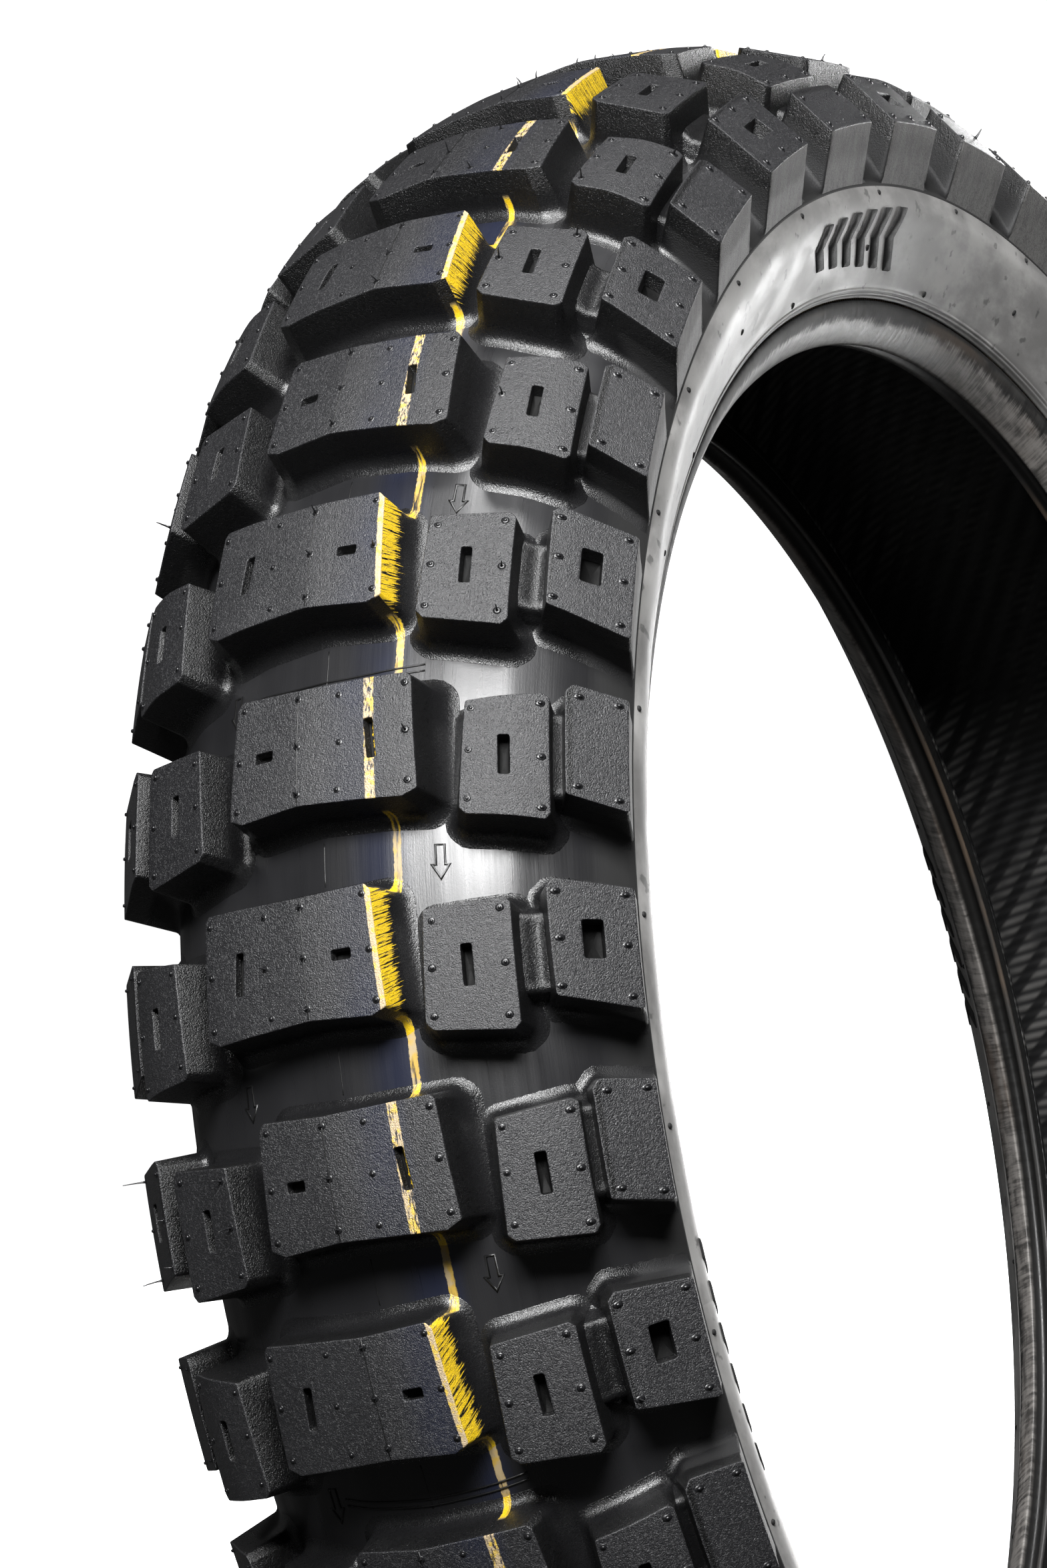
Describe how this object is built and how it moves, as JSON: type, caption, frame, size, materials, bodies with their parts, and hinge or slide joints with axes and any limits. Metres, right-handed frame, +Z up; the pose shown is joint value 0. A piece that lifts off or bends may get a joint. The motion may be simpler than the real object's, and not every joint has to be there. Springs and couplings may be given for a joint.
{
  "type": "motorcycle tire",
  "caption": "Dual-sport motorcycle tire with alternating slotted tread blocks, a belted two-ply casing and wire beads; a wheel rim fits its open centre.",
  "frame": {"origin": "centre of the wheel: on the axle line, in the tire's centre plane", "axes": "+Y along the axle line; +Z up and +X across, both in the tire's plane; the visible sidewall of the reference view faces -Y"},
  "size_m": [0.656, 0.1542, 0.656],
  "materials": {
    "tread_rubber": "matte moulded tread rubber",
    "sidewall_rubber": "satin moulded sidewall rubber",
    "bead_rubber": "satin bead rubber with fine scuffs",
    "liner_rubber": "dark liner with a cord imprint",
    "inner_rubber": "plain inner rubber",
    "belt_cord": "rubberised aramid cord",
    "ply_cord": "rubberised nylon cord",
    "flipper_fabric": "rubberised woven strip",
    "bead_wire": "bronze-coated steel wire"
  },
  "bodies": {
    "root": {"tread": "tread_rubber", "undertread": "inner_rubber", "belt_outer": "belt_cord", "belt_inner": "belt_cord", "belt_edge_cushion_left": "inner_rubber", "belt_edge_cushion_right": "inner_rubber", "body_ply_outer": "ply_cord", "body_ply_inner": "ply_cord", "inner_liner": "liner_rubber", "sidewall_left": "sidewall_rubber", "sidewall_right": "sidewall_rubber", "bead_core_left": "bead_wire", "bead_core_right": "bead_wire", "bead_filler_left": "inner_rubber", "bead_filler_right": "inner_rubber", "bead_flipper_left": "flipper_fabric", "bead_flipper_right": "flipper_fabric", "rim_strip_left": "bead_rubber", "rim_strip_right": "bead_rubber", "toe_strip_left": "bead_rubber", "toe_strip_right": "bead_rubber"}
  },
  "joints": []
}
